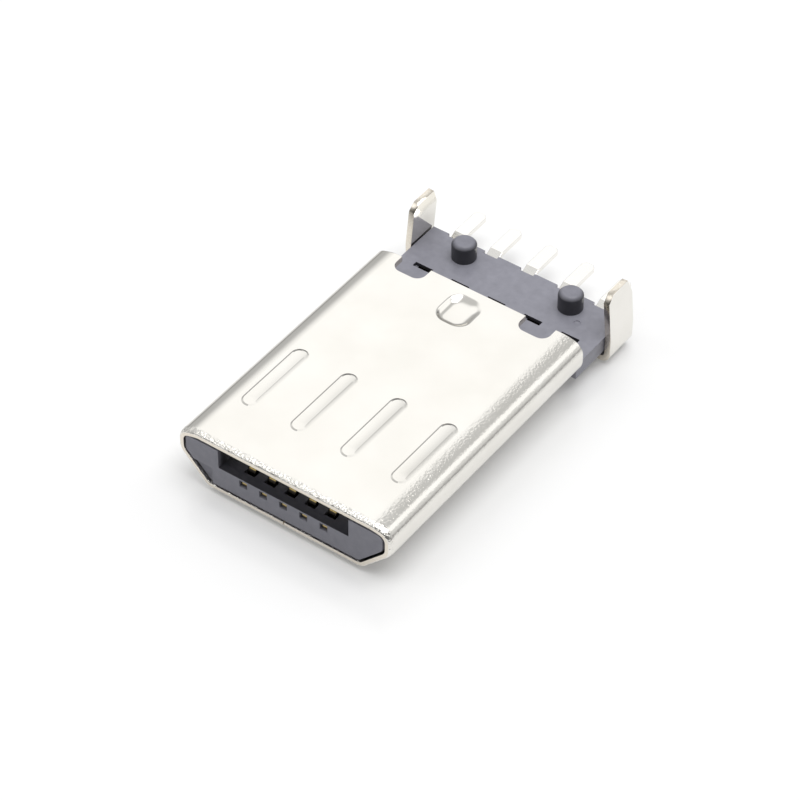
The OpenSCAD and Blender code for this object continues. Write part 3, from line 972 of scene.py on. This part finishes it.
def spring_steel():
    # Rolled steel is a blurred, uneven grey mirror.
    material, tree, coords = new_material("rolled_spring_steel")
    grain = add_node(
        tree, "ShaderNodeTexNoise", {"Vector": coords, "Scale": per_mm(SPRING_GRAIN), "Detail": 3}
    )
    colour = add_node(
        tree,
        "ShaderNodeValToRGB",
        {0: grain.outputs[0]},
        stops=[(0, linear("#bab7af")), (1, linear("#d6d3cb"))],
    )
    rough = add_node(
        tree, "ShaderNodeMapRange", {0: grain.outputs[0], "To Min": 0.2, "To Max": 0.4}
    )
    shader = add_node(
        tree,
        "ShaderNodeBsdfPrincipled",
        {"Base Color": colour.outputs[0], "Metallic": 1.0, "Roughness": rough.outputs[0]},
    )
    add_node(tree, "ShaderNodeOutputMaterial", {0: shader.outputs[0]})
    return material


spring_finish = spring_steel()
print("made", spring_finish.name)

# %% [markdown]
# The solids of the contacts and the latch springs have the right shape, so they stay. Modifiers weld
# their loose triangles, clear the flat faces and break the sharp edges, and leave their meshes as
# they are.

# %% Contacts and latch springs
for name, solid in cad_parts.items():
    if not name.startswith(("contact", "latch")):
        continue
    solid.data.materials.clear()
    solid.data.materials.append(strip_finish if name.startswith("contact") else spring_finish)
    add_modifier(solid, "WELD", merge_threshold=MERGE * MM)
    add_modifier(solid, "DECIMATE", decimate_type="DISSOLVE", angle_limit=FLAT_ANGLE)
    break_edges(solid, width=0.02, segments=2, angle=40)
    print("finished", name)

# %% [markdown]
# The plug lies on a white acrylic sheet. A white floor could be had from more light, but that would
# bleach the plug too. So part of what the camera and the mirrors see of the floor is its own plain
# white, and the rest is lit and keeps the shadow.

# %% Floor
FLOOR_HALF = 1.5
FLOOR_WHITE = 0.12


def white_floor():
    # Polished acrylic is a clean white with a faint mirror image.
    material, tree, _ = new_material("white_acrylic_sheet")
    shader = add_node(
        tree,
        "ShaderNodeBsdfPrincipled",
        {"Base Color": linear("#f7f7f7"), "Roughness": 0.15},
    )
    glow = add_node(tree, "ShaderNodeEmission", {"Color": linear("#ffffff"), "Strength": 1.0})
    ray = add_node(tree, "ShaderNodeLightPath")
    seen = add_node(
        tree,
        "ShaderNodeMath",
        {0: ray.outputs["Is Camera Ray"], 1: ray.outputs["Is Glossy Ray"]},
        operation="MAXIMUM",
    )
    share = add_node(tree, "ShaderNodeMath", {0: seen.outputs[0], 1: FLOOR_WHITE}, operation="MULTIPLY")
    surface = add_node(
        tree, "ShaderNodeMixShader", {0: share.outputs[0], 1: shader.outputs[0], 2: glow.outputs[0]}
    )
    add_node(tree, "ShaderNodeOutputMaterial", {0: surface.outputs[0]})
    return material


bm = bmesh.new()
bmesh.ops.create_grid(bm, x_segments=1, y_segments=1, size=FLOOR_HALF)
bmesh.ops.translate(bm, verts=bm.verts, vec=(0, 0, cad_box[0].z))
floor_mesh = bpy.data.meshes.new("floor")
bm.to_mesh(floor_mesh)
bm.free()
floor_mesh.materials.append(white_floor())
floor = bpy.data.objects.new("floor", floor_mesh)
bpy.context.scene.collection.objects.link(floor)
print("floor", 2 * FLOOR_HALF, "m wide")

# %% [markdown]
# Polished metal shows the room more than itself, so the room is half of its look. This one is a white
# tent: darker near the horizon and behind the viewer, with three broad glows high up that whiten the
# wide wall and the bends, and two faint low ones that lift the darkest lines. A world of a few soft
# glows is quicker than many lamps, and its patches have no hard edges.

# %% Studio tent
SKY_LOW, SKY_HIGH, SKY_HEIGHT = 0.15, 0.65, 0.5
ROOM_SIDE, ROOM_BEHIND, ROOM_SHADE = 0.15, 0.75, 0.25
# Azimuth and elevation of each glow, the half angles of its core and its reach, and its brightness
GLOWS = [
    (140, 43, 11, 27, 0.58),
    (54, 41, 5, 22, 0.6),
    (226, 48, 6, 24, 0.8),
    (37, 12, 4, 18, 0.3),
    (144, 6, 4, 14, 0.2),
]


def towards(azimuth, elevation):
    """Unit vector at an azimuth counted from +X towards +Y and an elevation, both in degrees."""
    a, e = math.radians(azimuth), math.radians(elevation)
    return Vector((math.cos(a) * math.cos(e), math.sin(a) * math.cos(e), math.sin(e)))


world = bpy.data.worlds.new("studio_tent")
bpy.context.scene.world = world
world.use_nodes = True
sky = world.node_tree
sky.nodes.clear()
direction = add_node(sky, "ShaderNodeTexCoord").outputs["Generated"]
height = add_node(sky, "ShaderNodeSeparateXYZ", {0: direction}).outputs["Z"]
shade = add_node(
    sky,
    "ShaderNodeMapRange",
    {0: height, "From Min": 0, "From Max": SKY_HEIGHT, "To Min": SKY_LOW, "To Max": SKY_HIGH},
    interpolation_type="SMOOTHSTEP",
)
viewer = Vector((back.x, back.y, 0)).normalized()
aside = add_node(sky, "ShaderNodeVectorMath", {0: direction, 1: viewer}, operation="DOT_PRODUCT")
room = add_node(
    sky,
    "ShaderNodeMapRange",
    {
        0: aside.outputs["Value"],
        "From Min": ROOM_SIDE,
        "From Max": ROOM_BEHIND,
        "To Min": 1,
        "To Max": ROOM_SHADE,
    },
    interpolation_type="SMOOTHSTEP",
)
strength = add_node(
    sky, "ShaderNodeMath", {0: shade.outputs[0], 1: room.outputs[0]}, operation="MULTIPLY"
)
for glow_azimuth, glow_elevation, core, reach, brightness in GLOWS:
    centre = towards(glow_azimuth, glow_elevation)
    near = add_node(sky, "ShaderNodeVectorMath", {0: direction, 1: centre}, operation="DOT_PRODUCT")
    glow = add_node(
        sky,
        "ShaderNodeMapRange",
        {
            0: near.outputs["Value"],
            "From Min": math.cos(math.radians(reach)),
            "From Max": math.cos(math.radians(core)),
            "To Max": brightness,
        },
        interpolation_type="SMOOTHSTEP",
    )
    strength = add_node(
        sky, "ShaderNodeMath", {0: strength.outputs[0], 1: glow.outputs[0]}, operation="ADD"
    )
tent = add_node(
    sky, "ShaderNodeBackground", {"Color": linear("#ffffff"), "Strength": strength.outputs[0]}
)
add_node(sky, "ShaderNodeOutputWorld", {0: tent.outputs[0]})
print("tent with", len(GLOWS), "glows")

# %% [markdown]
# One soft box overhead gives the floor its light and the plug its tight shadow. Its power is worked
# out from how bright its face should look, with 1 as white, so its size can change by itself.

# %% Soft box
BOX_DISTANCE, BOX_SIZE, BOX_BRIGHTNESS = 0.3, 0.22, 3.2
BOX_AZIMUTH, BOX_ELEVATION = 10, 80

lamp = bpy.data.lights.new("box_overhead", "AREA")
lamp.size = BOX_SIZE
lamp.energy = BOX_BRIGHTNESS * math.pi * BOX_SIZE ** 2
box = bpy.data.objects.new("box_overhead", lamp)
box.location = BOX_DISTANCE * towards(BOX_AZIMUTH, BOX_ELEVATION)
box.rotation_euler = box.location.to_track_quat("Z", "Y").to_euler()
box.visible_camera = False
bpy.context.scene.collection.objects.link(box)
print("overhead box", round(lamp.energy, 4), "W")
